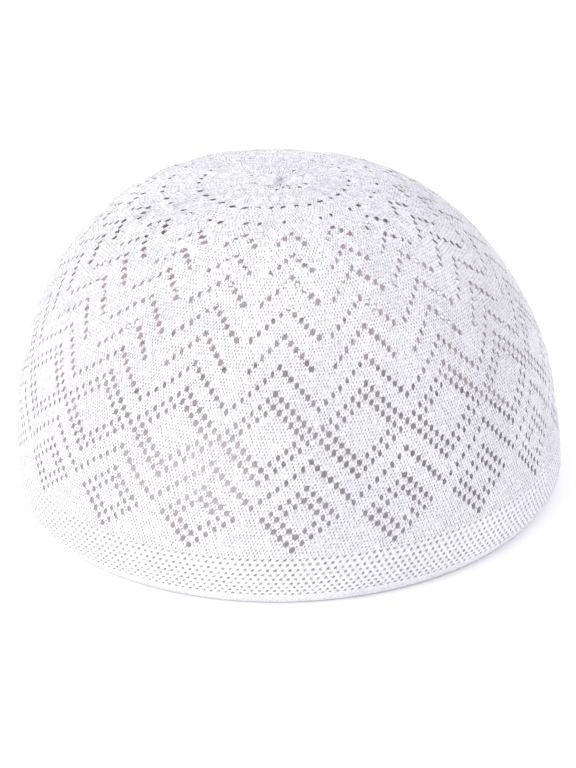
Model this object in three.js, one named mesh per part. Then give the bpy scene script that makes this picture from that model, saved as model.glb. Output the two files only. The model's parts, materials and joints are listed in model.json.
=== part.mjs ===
// A white kufi knitted in one go: a dome of lace knit, a hem band folded double and a centre
// that is drawn up by its last stitches. Millimetres, +Z up, origin in the middle of the rim.
import * as THREE from 'three';
import { mergeVertices } from 'three/addons/utils/BufferGeometryUtils.js';

// Driving sizes
const WALL_RADIUS = 90;
const CAP_HEIGHT = 105.4;
const BAND_HEIGHT = 17;
const BAND_THICKNESS = 3.2;
const RIM_FLAT = 2.2;
const KNIT_THICKNESS = 1.2;
const CROWN_LEAN = 3.9;
const GATHER_RADIUS = 12;
const GATHER_DIMPLE = 1.2;
const PLEAT_HEIGHT = 0.7;
const PIECE_GAP = 0.3;

// Lace: how often it repeats, how far its upright ribs slant, and how wide a cut gap is
const REPEATS = 18;
const REPEAT_COLUMNS = 14;
const LACE_ROWS = 68;
const RIB_SLANT_DEGREES = 25;
const GAP_WIDTH = 2;
const CORNER_BRIDGE = 1.6;
const PLEATS = 18;

// Mesh steps
const REPEAT_STEPS = 4;
const LEG_STEPS = 2;
const PLEAT_STEPS = 3;
const GATHER_STEPS = 5;

// The rim's outer edge, and the line where the band and the crown meet, as shares of WALL_RADIUS
const RIM_SHARE = 0.955;
const SEAM_SHARE = 1.013;

// Outer side of the band: height as a share of BAND_HEIGHT, radius as a share of WALL_RADIUS and
// wall as a share of BAND_THICKNESS
const BAND_SECTIONS = [
  { height: 0.12, radius: 0.994, wall: 0.94 },
  { height: 0.32, radius: 1.018, wall: 1 },
  { height: 0.60, radius: 1.018, wall: 1 },
  { height: 1.00, radius: SEAM_SHARE, wall: 1 },
];

// Outer side of the crown: height as a share of the rise above the band, radius as a share of
// WALL_RADIUS, lean as a share of CROWN_LEAN
const CROWN_SECTIONS = [
  { height: 0.000, radius: SEAM_SHARE, lean: 0.00 },
  { height: 0.101, radius: 0.999, lean: 0.10 },
  { height: 0.285, radius: 0.974, lean: 0.26 },
  { height: 0.463, radius: 0.916, lean: 0.42 },
  { height: 0.629, radius: 0.831, lean: 0.60 },
  { height: 0.742, radius: 0.750, lean: 0.74 },
  { height: 0.839, radius: 0.650, lean: 0.86 },
  { height: 0.916, radius: 0.544, lean: 0.96 },
  { height: 0.963, radius: 0.440, lean: 1.00 },
  { height: 0.984, radius: 0.320, lean: 0.75 },
  { height: 0.994, radius: 0.180, lean: 0.30 },
  { height: 1.000, radius: 0.000, lean: 0.00 },
];

// Bands of the lace, each up to its top row. Where a figure's eyelets lie in it, they are cut as
// one bent gap: the corner's column and row, how many columns each leg runs to the side, and how
// many rows it climbs for each column
const LACE_BANDS = [
  { figure: 'small diamond, lower half', topRow: 6.5, column: 0, row: 2.5, legColumns: 4, climb: 1 },
  { figure: 'small diamond, upper half', topRow: 12, column: 0, row: 10.5, legColumns: 4, climb: -1 },
  { figure: 'large diamond, lower half', topRow: 19.5, column: 7, row: 13.5, legColumns: 6, climb: 1 },
  { figure: 'large diamond, upper half', topRow: 27, column: 7, row: 25.5, legColumns: 6, climb: -1 },
  { figure: 'lower chevron', topRow: 37, column: 7, row: 35, legColumns: 6, climb: -1 },
  { figure: 'upper chevron', topRow: 46.5, column: 7, row: 44.8, legColumns: 5, climb: -0.9 },
  { figure: 'plain', topRow: 50 },
  { figure: 'plain', topRow: 54 },
  { figure: 'plain', topRow: 60 },
  { figure: 'plain', topRow: LACE_ROWS },
];

const crownRise = CAP_HEIGHT - BAND_HEIGHT;
const wallCurve = new THREE.CatmullRomCurve3(
  CROWN_SECTIONS.map(
    (s) =>
      new THREE.Vector3(
        s.radius * WALL_RADIUS,
        -s.lean * CROWN_LEAN,
        BAND_HEIGHT + s.height * crownRise
      )
  ),
  false,
  'centripetal'
);
wallCurve.arcLengthDivisions = 600;
const wallLength = wallCurve.getLength();

// Share of the wall's length at which its radius has come down to the given one
function shareAtRadius(radius) {
  let low = 0.5;
  let high = 1;
  while (high - low > 1e-5) {
    const middle = (low + high) / 2;
    if (wallCurve.getPointAt(middle).x > radius) {
      low = middle;
    } else {
      high = middle;
    }
  }
  return (low + high) / 2;
}

const gatherShare = shareAtRadius(GATHER_RADIUS);
const rowShare = (gatherShare - PIECE_GAP / wallLength) / LACE_ROWS;
const rowPitch = rowShare * wallLength;
const ringSteps = REPEATS * REPEAT_STEPS;

// A point at a share of the wall's length, turned from the front by an angle in degrees and
// sunk below the outer side by a depth
function wallPoint(share, degrees, depth) {
  const at = wallCurve.getPointAt(share);
  const along = wallCurve.getTangentAt(share);
  const slope = Math.hypot(along.x, along.z);
  const radius = at.x - (depth * along.z) / slope;
  const height = at.z + (depth * along.x) / slope;
  const turn = THREE.MathUtils.degToRad(degrees);
  return new THREE.Vector3(at.y + radius * Math.sin(turn), -radius * Math.cos(turn), height);
}

// A point of the lace chart: columns count round from the front, rows up from the band, where
// the crown has a level foot
function lacePoint(column, row, depth) {
  const degrees = (column * 360) / (REPEATS * REPEAT_COLUMNS) + (row * RIB_SLANT_DEGREES) / LACE_ROWS;
  const point = wallPoint(row * rowShare, degrees, depth);
  if (row === 0) {
    point.z = BAND_HEIGHT + PIECE_GAP;
  }
  return point;
}

function meshFrom(points, faces) {
  const geometry = new THREE.BufferGeometry();
  const positions = points.flatMap((p) => [p.x, p.y, p.z]);
  geometry.setAttribute('position', new THREE.Float32BufferAttribute(positions, 3));
  geometry.setIndex(faces);
  return mergeVertices(geometry, 1e-4);
}

// Outline of a gap on the chart: along its lower side, then back along its upper side
function gapOutline(band, middleColumn) {
  const halfRows = (GAP_WIDTH * Math.SQRT1_2) / rowPitch;
  const reach = band.legColumns - CORNER_BRIDGE / rowPitch;
  const lower = [];
  const upper = [];
  for (let k = -LEG_STEPS; k <= LEG_STEPS; k += 1) {
    const side = (reach * k) / LEG_STEPS;
    const row = band.row + Math.abs(side) * band.climb;
    lower.push(new THREE.Vector2(middleColumn + side, row - halfRows));
    upper.unshift(new THREE.Vector2(middleColumn + side, row + halfRows));
  }
  return [...lower, ...upper];
}

// Outline of one repeat of a band on the chart, round its middle column
function repeatOutline(middleColumn, bottomRow, topRow) {
  const bottom = [];
  const top = [];
  for (let k = 0; k <= REPEAT_STEPS; k += 1) {
    const column = middleColumn + REPEAT_COLUMNS * (k / REPEAT_STEPS - 0.5);
    bottom.push(new THREE.Vector2(column, bottomRow));
    top.unshift(new THREE.Vector2(column, topRow));
  }
  return [...bottom, ...top];
}

// The crown: each repeat of each band is laid out flat on the chart with its gap, then put on
// the outer and the inner side of the wall, and the edges between the two sides are closed
function makeCrown() {
  const points = [];
  const faces = [];

  function addSides(chart, triangles) {
    const outer = points.length;
    chart.forEach((c) => points.push(lacePoint(c.x, c.y, 0)));
    const inner = points.length;
    chart.forEach((c) => points.push(lacePoint(c.x, c.y, KNIT_THICKNESS)));
    for (const [a, b, c] of triangles) {
      faces.push(outer + a, outer + b, outer + c, inner + a, inner + c, inner + b);
    }
  }

  // The wall's thickness along a line on the chart, facing to the right of its direction
  function addEdge(line) {
    for (let k = 0; k < line.length - 1; k += 1) {
      const start = points.length;
      for (const c of [line[k], line[k + 1]]) {
        points.push(lacePoint(c.x, c.y, 0), lacePoint(c.x, c.y, KNIT_THICKNESS));
      }
      faces.push(start, start + 1, start + 3, start, start + 3, start + 2);
    }
  }

  let bottomRow = 0;
  for (const band of LACE_BANDS) {
    for (let repeat = 0; repeat < REPEATS; repeat += 1) {
      const middle = (band.column ?? 0) + repeat * REPEAT_COLUMNS;
      const outline = repeatOutline(middle, bottomRow, band.topRow);
      const gap = band.row ? gapOutline(band, middle) : null;
      const holes = gap ? [gap] : [];
      addSides([...outline, ...holes.flat()], THREE.ShapeUtils.triangulateShape(outline, holes));
      if (gap) {
        addEdge([...gap, gap[0]].reverse());
      }
      if (bottomRow === 0) {
        addEdge(outline.slice(0, REPEAT_STEPS + 1));
      }
      if (band.topRow === LACE_ROWS) {
        addEdge(outline.slice(REPEAT_STEPS + 1));
      }
    }
    bottomRow = band.topRow;
  }
  return meshFrom(points, faces);
}

// The hem band: a closed section turned about the axis, flat under the rim
function makeBand() {
  const rimRadius = RIM_SHARE * WALL_RADIUS;
  const outer = BAND_SECTIONS.map(
    (s) => new THREE.Vector2(s.radius * WALL_RADIUS, s.height * BAND_HEIGHT)
  );
  const inner = BAND_SECTIONS.map(
    (s) => new THREE.Vector2(s.radius * WALL_RADIUS - s.wall * BAND_THICKNESS, s.height * BAND_HEIGHT)
  );
  const section = [
    new THREE.Vector2(rimRadius, 0),
    ...outer,
    ...inner.reverse(),
    new THREE.Vector2(rimRadius - RIM_FLAT, 0),
    new THREE.Vector2(rimRadius, 0),
  ];
  const band = new THREE.LatheGeometry(section, ringSteps);
  band.rotateX(Math.PI / 2);
  band.deleteAttribute('normal');
  band.deleteAttribute('uv');
  return mergeVertices(band, 1e-4);
}

// Height of the pleats and of the dimple over the plain wall, from the gather's edge (0) to
// its middle (1)
function gatherRelief(inward, degrees) {
  const pleat = Math.cos(THREE.MathUtils.degToRad(degrees * PLEATS));
  const swell = Math.sin(Math.PI * inward);
  return PLEAT_HEIGHT * swell * pleat - GATHER_DIMPLE * inward * inward;
}

// The drawn-up centre: a thin pleated disc with a dimple, inside the crown's upper edge. Its
// rings run inward on the outer side and back outward on the inner side
function makeGather() {
  const steps = PLEATS * PLEAT_STEPS;
  const points = [];
  const faces = [];
  const ringCount = 2 * (GATHER_STEPS + 1);
  for (let ring = 0; ring < ringCount; ring += 1) {
    const onOuter = ring <= GATHER_STEPS;
    const inward = (onOuter ? ring : ringCount - 1 - ring) / GATHER_STEPS;
    const share = gatherShare + (1 - gatherShare) * inward;
    for (let i = 0; i < steps; i += 1) {
      const degrees = (i * 360) / steps;
      const point = wallPoint(share, degrees, 0);
      point.z += gatherRelief(inward, degrees) - (onOuter ? 0 : KNIT_THICKNESS);
      points.push(point);
    }
  }
  for (let ring = 0; ring < ringCount; ring += 1) {
    if (ring === GATHER_STEPS) {
      continue;
    }
    const lower = ring * steps;
    const upper = ((ring + 1) % ringCount) * steps;
    for (let i = 0; i < steps; i += 1) {
      const next = (i + 1) % steps;
      faces.push(lower + i, lower + next, upper + next, lower + i, upper + next, upper + i);
    }
  }
  return dropFlat(meshFrom(points, faces));
}

// The same mesh without the triangles that have two corners in one place
function dropFlat(geometry) {
  const index = geometry.getIndex().array;
  const kept = [];
  for (let k = 0; k < index.length; k += 3) {
    const [a, b, c] = index.slice(k, k + 3);
    if (a !== b && b !== c && c !== a) {
      kept.push(a, b, c);
    }
  }
  geometry.setIndex(kept);
  return geometry;
}

const kufi = new THREE.Group();

function addPiece(name, geometry, color) {
  const material = new THREE.MeshStandardMaterial({ color, roughness: 0.92, metalness: 0 });
  const mesh = new THREE.Mesh(geometry, material);
  mesh.name = name;
  kufi.add(mesh);
}

addPiece('hem_band', makeBand(), 0xf4f3f6);
addPiece('lace_crown', makeCrown(), 0xf6f5f7);
addPiece('crown_gather', makeGather(), 0xf6f5f8);

export default kufi;
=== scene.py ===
"""A white kufi knitted in one go: a domed lace crown, a hem band folded double and a gathered centre.

Lengths are in metres. Turns round the cap count from its front, which faces -Y, towards +X.
"""

import json
import logging
import math
from dataclasses import astuple, dataclass, field, replace
from enum import Enum

import bpy
import numpy as np
from mathutils import Matrix, Vector


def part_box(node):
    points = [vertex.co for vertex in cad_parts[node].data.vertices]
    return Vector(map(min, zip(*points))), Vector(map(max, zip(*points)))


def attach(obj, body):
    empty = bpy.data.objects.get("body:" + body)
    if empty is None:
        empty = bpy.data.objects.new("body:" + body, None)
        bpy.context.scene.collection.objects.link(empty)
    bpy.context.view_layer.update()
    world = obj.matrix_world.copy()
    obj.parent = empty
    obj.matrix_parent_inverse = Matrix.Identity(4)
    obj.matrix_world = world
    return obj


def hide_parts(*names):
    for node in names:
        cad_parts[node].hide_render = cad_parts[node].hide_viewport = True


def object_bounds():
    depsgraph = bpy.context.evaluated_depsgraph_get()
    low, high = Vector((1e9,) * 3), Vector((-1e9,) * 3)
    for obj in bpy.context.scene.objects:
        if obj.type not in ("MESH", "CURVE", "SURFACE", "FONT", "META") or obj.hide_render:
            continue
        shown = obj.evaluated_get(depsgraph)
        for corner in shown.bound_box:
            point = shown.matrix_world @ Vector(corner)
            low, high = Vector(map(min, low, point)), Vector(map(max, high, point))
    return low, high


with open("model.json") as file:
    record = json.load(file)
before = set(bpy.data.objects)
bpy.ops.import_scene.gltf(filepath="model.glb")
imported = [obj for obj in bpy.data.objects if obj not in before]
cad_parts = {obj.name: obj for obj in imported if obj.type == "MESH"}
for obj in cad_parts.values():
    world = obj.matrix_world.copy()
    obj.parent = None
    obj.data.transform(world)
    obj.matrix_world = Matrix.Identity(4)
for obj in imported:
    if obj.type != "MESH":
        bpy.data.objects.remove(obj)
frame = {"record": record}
cad_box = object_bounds()

MM = 0.001
BODY = "root"
STITCH_MAP = "stitches"
COLUMN_QUARTERS = 4
SMALLEST_LENGTH = 1e-12
log = logging.getLogger("kufi")

Socket = bpy.types.NodeSocket
Color = tuple[float, float, float, float]
Place = tuple[float, float, float]
Feeds = dict[str | int, Socket | float | tuple]


class Line(Enum):
    """The upright line of each repeat that a lace figure is centred on."""

    VALLEY = "valley"
    PEAK = "peak"


class Leg(Enum):
    """The leg of a lace figure that an eyelet belongs to, as seen from outside."""

    RISING = "rising"
    FALLING = "falling"
    LEVEL = "level"
    OPEN = "open"


class Side(Enum):
    """A side of the knit, with its place in a piece's list of materials."""

    OUTER = 0
    INNER = 1


class Strands(Enum):
    """How the yarn runs between the pinholes of a knit."""

    ZIGZAG = "zigzag"
    RIBBED = "ribbed"
    RADIAL = "radial"


STRANDS_A_STITCH = {Strands.ZIGZAG: 3.0, Strands.RIBBED: 2.0, Strands.RADIAL: 5 / 3}
ZIGZAG_BEND = 0.9


@dataclass(frozen=True)
class WallSection:
    """One level of the crown's outer side, as shares of its rise, its radius and its lean."""

    height: float
    radius: float
    lean: float


@dataclass(frozen=True)
class BandSection:
    """One level of the band's outer side, as shares of its height, the cap's radius and its wall."""

    height: float
    radius: float
    wall: float


@dataclass(frozen=True)
class RowMark:
    """The share of the way from seam to centre at which a row of the lace lies."""

    row: float
    share: float


@dataclass(frozen=True)
class Narrowing:
    """The row from which a repeat has only this many columns."""

    row: float
    columns: int


@dataclass(frozen=True)
class Figure:
    """A bent run of eyelets: its row on its line, its columns to each side and its rows a column."""

    line: Line
    row: float
    reach: int
    climb: int
    nearest: int = 0


@dataclass(frozen=True)
class EyeletShape:
    """Half width and half height of an eyelet as shares of a stitch, its slant and its corners.

    The closing is the share of its height that it loses at the back of the cap. The net reads
    these fields in their order here.
    """

    half_width: float
    half_height: float
    slant: float
    squareness: float
    unevenness: float = 0.08
    closing: float = 0.0


@dataclass(frozen=True)
class Wave:
    """A smooth wave over the wall: its count round the cap, its bend up the wall, start and share."""

    count: float
    bend: float
    start: float
    share: float = 1.0

    def at(self, turn: np.ndarray, up: np.ndarray | float = 0.0) -> np.ndarray:
        """The wave's height at given turns and ways up."""
        return self.share * np.sin(self.count * turn + self.bend * up + self.start)


@dataclass(frozen=True)
class OpenStitch:
    """An open stitch near the centre: its turn from the front and its distance from the centre."""

    turn_degrees: float
    distance: float


CROWN_SECTIONS = (
    WallSection(0.000, 1.013, 0.00),
    WallSection(0.101, 0.999, 0.10),
    WallSection(0.285, 0.974, 0.26),
    WallSection(0.463, 0.916, 0.42),
    WallSection(0.629, 0.831, 0.60),
    WallSection(0.742, 0.750, 0.74),
    WallSection(0.839, 0.650, 0.86),
    WallSection(0.916, 0.544, 0.96),
    WallSection(0.963, 0.440, 1.00),
    WallSection(0.984, 0.320, 0.75),
    WallSection(0.994, 0.180, 0.30),
    WallSection(1.000, 0.000, 0.00),
)

BAND_SECTIONS = (
    BandSection(1.00, 1.013, 1.00),
    BandSection(0.60, 1.018, 1.00),
    BandSection(0.32, 1.018, 1.00),
    BandSection(0.12, 0.994, 0.94),
)
WIDEST_SHARE = 1.018

ROW_MARKS = (
    RowMark(-1.5, 0.000),
    RowMark(0.0, 0.020),
    RowMark(14.0, 0.208),
    RowMark(29.0, 0.407),
    RowMark(33.5, 0.471),
    RowMark(38.0, 0.533),
    RowMark(42.5, 0.602),
    RowMark(46.5, 0.657),
    RowMark(50.5, 0.717),
    RowMark(54.0, 0.762),
    RowMark(58.5, 0.833),
    RowMark(64.5, 0.914),
)

NARROWINGS = (
    Narrowing(-1.5, 14),
    Narrowing(29.5, 13),
    Narrowing(32.0, 12),
    Narrowing(35.5, 11),
    Narrowing(38.5, 10),
    Narrowing(42.5, 9),
    Narrowing(45.5, 8),
    Narrowing(48.5, 7),
    Narrowing(51.5, 6),
    Narrowing(54.5, 5),
    Narrowing(57.0, 4),
    Narrowing(61.0, 3),
)

FIGURES = (
    Figure(Line.VALLEY, row=0, reach=5, climb=1),
    Figure(Line.VALLEY, row=10, reach=4, climb=-1),
    Figure(Line.VALLEY, row=2, reach=3, climb=1),
    Figure(Line.VALLEY, row=8, reach=2, climb=-1),
    Figure(Line.VALLEY, row=14, reach=7, climb=-1),
    Figure(Line.PEAK, row=11, reach=7, climb=1),
    Figure(Line.PEAK, row=25, reach=6, climb=-1),
    Figure(Line.PEAK, row=13, reach=5, climb=1),
    Figure(Line.PEAK, row=23, reach=4, climb=-1),
    Figure(Line.PEAK, row=29, reach=7, climb=-1),
    Figure(Line.PEAK, row=33.5, reach=5, climb=-1),
    Figure(Line.PEAK, row=38, reach=5, climb=-1),
    Figure(Line.PEAK, row=42.5, reach=4, climb=-1),
    Figure(Line.PEAK, row=46.5, reach=3, climb=-1),
    Figure(Line.PEAK, row=50.5, reach=2, climb=-1),
    Figure(Line.PEAK, row=54, reach=1, climb=0, nearest=1),
    Figure(Line.PEAK, row=58.5, reach=1, climb=0, nearest=1),
)

EYELET_SHAPES = {
    Leg.FALLING: EyeletShape(half_width=0.355, half_height=0.40, slant=0.34, squareness=8.0),
    Leg.RISING: EyeletShape(half_width=0.275, half_height=0.42, slant=0.14, squareness=3.2),
    Leg.LEVEL: EyeletShape(0.40, 0.46, slant=0.20, squareness=2.2, unevenness=0.25, closing=0.7),
    Leg.OPEN: EyeletShape(0.44, 0.46, slant=0.15, squareness=2.0, unevenness=0.2),
}

OPEN_STITCHES = (
    OpenStitch(4, 4.6 * MM),
    OpenStitch(-3, 4.6 * MM),
    OpenStitch(21, 8.9 * MM),
    OpenStitch(21, 7.0 * MM),
    OpenStitch(-35, 6.8 * MM),
    OpenStitch(41, 9.4 * MM),
    OpenStitch(64, 9.8 * MM),
    OpenStitch(-4, 9.3 * MM),
    OpenStitch(11, 7.8 * MM),
    OpenStitch(-70, 9.0 * MM),
    OpenStitch(112, 8.0 * MM),
    OpenStitch(150, 9.6 * MM),
    OpenStitch(-160, 7.2 * MM),
    OpenStitch(-118, 9.4 * MM),
)


def smooth_curve(points: np.ndarray, steps: int) -> np.ndarray:
    """Runs a centripetal Catmull-Rom curve through points, carried straight on past both ends.

    Args:
        points: The points to pass through, one a line.
        steps: How many samples each stretch between two points gets.

    Returns:
        The samples along the curve, one a line.
    """
    ends = (2 * points[:1] - points[1:2], 2 * points[-1:] - points[-2:-1])
    padded = np.vstack([ends[0], points, ends[1]])
    t = np.linspace(0, 1, steps, endpoint=False)[:, None]
    runs = []
    for p0, p1, p2, p3 in zip(padded, padded[1:], padded[2:], padded[3:]):
        before = math.sqrt(np.linalg.norm(p1 - p0))
        here = math.sqrt(np.linalg.norm(p2 - p1))
        after = math.sqrt(np.linalg.norm(p3 - p2))
        start = here * ((p1 - p0) / before - (p2 - p0) / (before + here) + (p2 - p1) / here)
        end = here * ((p2 - p1) / here - (p3 - p1) / (here + after) + (p3 - p2) / after)
        cubic = 2 * p1 - 2 * p2 + start + end
        square = 3 * p2 - 3 * p1 - 2 * start - end
        runs.append(((cubic * t + square) * t + start) * t + p1)
    return np.vstack([*runs, points[-1:]])


def lengths_along(curve: np.ndarray) -> np.ndarray:
    """The way along a curve from its first point to each of its points."""
    steps = np.linalg.norm(np.diff(curve, axis=0), axis=1)
    return np.concatenate([[0], np.cumsum(steps)])


def put_in_scene(name: str, data: bpy.types.ID) -> bpy.types.Object:
    """Makes an object from a mesh, a light or a camera and links it to the scene.

    Args:
        name: The object's name.
        data: The mesh, the light or the camera.

    Returns:
        The object.
    """
    thing = bpy.data.objects.new(name, data)
    bpy.context.scene.collection.objects.link(thing)
    return thing


@dataclass
class CapSizes:
    """Overall sizes of the cap, taken from the frame."""

    pleat_crest: float = 0.27 * MM
    crown_lean: float = 3.9 * MM
    radius: float = field(init=False)
    seam_height: float = field(init=False)
    top_height: float = field(init=False)

    def __post_init__(self) -> None:
        """Measures the band and the whole cap."""
        band_low, band_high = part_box("hem_band")
        self.radius = (band_high.x - band_low.x) / 2 / WIDEST_SHARE
        self.seam_height = band_high.z
        self.top_height = cad_box[1].z - self.pleat_crest


@dataclass
class CrownWall:
    """The crown's outer side, along which points are placed by rise, turn and lift."""

    sizes: CapSizes
    samples: int = 200

    def __post_init__(self) -> None:
        """Samples the wall's curve with its length, its lean and its outward direction."""
        span = self.sizes.top_height - self.sizes.seam_height
        shares = np.array([(s.radius, -s.lean, s.height) for s in CROWN_SECTIONS])
        table = shares * (self.sizes.radius, self.sizes.crown_lean, span)
        table[:, 2] += self.sizes.seam_height
        curve = smooth_curve(table, self.samples)
        self.rises = lengths_along(curve)
        self.length = float(self.rises[-1])
        self.radii, self.leans, self.heights = curve.T
        slope = np.gradient(curve[:, [0, 2]], self.rises, axis=0)
        slope /= np.linalg.norm(slope, axis=1)[:, None]
        self.normal_radii = slope[:, 1]
        self.normal_heights = -slope[:, 0]

    def radius_at(self, rise: np.ndarray) -> np.ndarray:
        """Distance from the leaning axis at each rise."""
        return np.interp(rise, self.rises, self.radii)

    def place(self, rise: np.ndarray, turn: np.ndarray, lift: np.ndarray) -> np.ndarray:
        """Finds the points of the wall at given rises and turns.

        Args:
            rise: Way up along the wall from the seam.
            turn: Turn round the axis from the front, in radians.
            lift: Height above the outer side, negative for below it.

        Returns:
            The points, with the coordinates in the last dimension.
        """
        radius = self.radius_at(rise) + lift * np.interp(rise, self.rises, self.normal_radii)
        height = np.interp(rise, self.rises, self.heights)
        height = height + lift * np.interp(rise, self.rises, self.normal_heights)
        lean = np.interp(rise, self.rises, self.leans)
        return np.stack([lean + radius * np.sin(turn), -radius * np.cos(turn), height], axis=-1)


@dataclass
class Sway:
    """The slow, uneven pull of a soft knit: smooth shifts along, across and out of the wall."""

    across: float = 0.28 * MM
    along: float = 0.22 * MM
    outward: float = 0.25 * MM
    bend_length: float = 9 * MM
    seam_fade: float = 6 * MM
    centre_fade: float = 20 * MM
    across_waves: tuple[Wave, ...] = (Wave(5, 0.7, 0), Wave(23, -1.3, 1, share=0.6))
    along_waves: tuple[Wave, ...] = (Wave(7, -0.5, 2), Wave(19, 1.1, 0, share=0.6))
    outward_waves: tuple[Wave, ...] = (Wave(4, 0.45, 1), Wave(13, -0.8, 3, share=0.5))

    def shifts(self, rise: np.ndarray, turn: np.ndarray) -> tuple[np.ndarray, np.ndarray, np.ndarray]:
        """Works out the shifts at given places.

        Args:
            rise: Way up along the wall from the seam.
            turn: Turn round the axis, in radians.

        Returns:
            The shifts across, along and out of the wall.
        """
        up = rise / self.bend_length
        across = sum(wave.at(turn, up) for wave in self.across_waves)
        along = sum(wave.at(turn, up) for wave in self.along_waves)
        outward = sum(wave.at(turn, up) for wave in self.outward_waves)
        return self.across * across, self.along * along, self.outward * outward


@dataclass
class Eyelet:
    """One eyelet of the chart: its wedge, quarter column and half row, and its leg."""

    wedge: int
    quarter: int
    half_row: int
    leg: Leg


@dataclass
class RingPlan:
    """One ring of the net: quarters to a side of each peak line, its place, relief and stitches."""

    quarters: int
    rise: float
    turn: float
    lift: np.ndarray
    thickness: float
    row: float
    quarter_share: float = 1.0


@dataclass
class StitchNet:
    """A two-sided knit on a lattice of quarter columns and half rows, with open eyelets.

    Each wedge of the crown holds as many quarters to both sides of its peak line, and shares
    the border with the next wedge. A ring may have one quarter less a side than the one below.
    """

    wall: CrownWall
    sway: Sway
    wedges: int
    rings: list[RingPlan]
    jitter: float = 0.05 * MM
    full_jitter_quarters: int = 9
    least_radius: float = 1 * MM
    raggedness: float = 0.07
    slant_spread: float = 0.08
    lip_height: float = 0.10 * MM
    lip_share: float = 0.10
    cell_limit: float = 0.445
    seed: int = 11

    BORDER = ((2, 0), (2, 1), (1, 1), (0, 1), (-1, 1), (-2, 1),
              (-2, 0), (-2, -1), (-1, -1), (0, -1), (1, -1), (2, -1))

    def __post_init__(self) -> None:
        """Numbers the rings and starts the mesh."""
        self.quarters = np.array([r.quarters for r in self.rings])
        self.rises = np.array([r.rise for r in self.rings])
        self.turns = np.array([r.turn for r in self.rings])
        self.shares = np.array([r.quarter_share for r in self.rings])
        self.stitch_rows = np.array([r.row for r in self.rings])
        self.thicknesses = np.array([r.thickness for r in self.rings])
        self.counts = 2 * self.wedges * self.quarters
        self.starts = np.concatenate([[0], np.cumsum(self.counts)])
        self.side = int(self.starts[-1])
        self.random = np.random.default_rng(self.seed)
        self.removed = [np.zeros(n, bool) for n in self.counts]
        self.points = self._ring_points()
        self.faces: list[np.ndarray] = []
        self.maps: list[np.ndarray] = []
        self.rows: list[np.ndarray] = []
        self.sides: list[Side] = []

    def _ring_points(self) -> np.ndarray:
        """Places the stitches of both sides.

        Returns:
            The points of the outer side and then those of the inner side.
        """
        outer, inner = [], []
        for ring, count in zip(self.rings, self.counts):
            angle = ring.turn + np.arange(count) * 2 * math.pi / count
            shift = self.random.uniform(-self.jitter, self.jitter, (2, count))
            shift *= min(1, ring.quarters / self.full_jitter_quarters)
            rises = ring.rise + shift[0]
            angle = angle + shift[1] / self.wall.radius_at(rises)
            outer.append(self._swayed(rises, angle, ring.lift))
            inner.append(self._swayed(rises, angle, ring.lift - ring.thickness))
        return np.vstack([*outer, *inner])

    def _swayed(self, rise: np.ndarray, turn: np.ndarray, lift: np.ndarray) -> np.ndarray:
        """Places points on the wall after the fabric's uneven pull.

        Args:
            rise: Way up along the wall from the seam.
            turn: Turn round the axis, in radians.
            lift: Height above the outer side.

        Returns:
            The points, with the coordinates in the last dimension.
        """
        across, along, outward = self.sway.shifts(rise, turn)
        fade = np.clip(rise / self.sway.seam_fade, 0, 1)
        fade = fade * np.clip((self.wall.length - rise) / self.sway.centre_fade, 0, 1)
        radius = np.maximum(self.wall.radius_at(rise), self.least_radius)
        turn = turn + fade * across / radius
        return self.wall.place(rise + fade * along, turn, lift + fade * outward)

    def _corner(self, wedge: np.ndarray, quarter: np.ndarray, ring: np.ndarray) -> np.ndarray:
        """Finds the number of a stitch on the outer side.

        Args:
            wedge: The wedge that it is counted in.
            quarter: Quarters from that wedge's peak line.
            ring: Its ring.

        Returns:
            The point's number.
        """
        k = self.quarters[ring]
        return self.starts[ring] + (wedge * 2 * k + quarter + k) % self.counts[ring]

    def _stitch(self, quarter: np.ndarray, ring: np.ndarray) -> np.ndarray:
        """The place on the stitch map of a corner, in quarters of the lace and half rows."""
        return np.stack([quarter * self.shares[ring], self.stitch_rows[ring] + 0 * quarter], axis=-1)

    def _add(self, corners: np.ndarray, stitches: np.ndarray, rings: np.ndarray, side: Side) -> None:
        """Adds faces with the chart position of each of their corners.

        Args:
            corners: Point numbers, one face a line.
            stitches: Quarter and half row of each corner.
            rings: The ring that decides which piece each face belongs to.
            side: The side of the knit that they are on.
        """
        self.faces.append(corners)
        self.maps.append(stitches / 2)
        self.rows.append(np.broadcast_to(rings, (len(corners),)))
        self.sides.append(side)

    def cut_eyelets(self, eyelets: list[Eyelet], shapes: dict[Leg, EyeletShape]) -> None:
        """Takes out a cell for each eyelet and puts its rounded opening there.

        Args:
            eyelets: Where the eyelets are.
            shapes: The shape for each leg of a figure.
        """
        wedge = np.array([e.wedge for e in eyelets])[:, None]
        quarter = np.array([e.quarter for e in eyelets])[:, None]
        ring = np.array([e.half_row for e in eyelets])[:, None]
        offsets = np.array(self.BORDER)
        border = self._corner(wedge, quarter + offsets[:, 0], ring + offsets[:, 1])
        for low in (-1, 0):
            for left in range(-2, 2):
                cells = self._corner(wedge, quarter + left, ring + low)
                for cell, at in zip(cells.ravel(), (ring + low).ravel()):
                    self.removed[at][cell - self.starts[at]] = True

        k = self.quarters[ring]
        turn = self.turns[ring] + (wedge * 2 * k + quarter + k) * 2 * math.pi / self.counts[ring]
        rise = self.rises[ring]
        width = COLUMN_QUARTERS * 2 * math.pi * self.wall.radius_at(rise) / self.counts[ring]
        height = self.rises[ring + 1] - self.rises[ring - 1]
        x, y = self._outlines([shapes[e.leg] for e in eyelets], turn, width, height)

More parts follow.
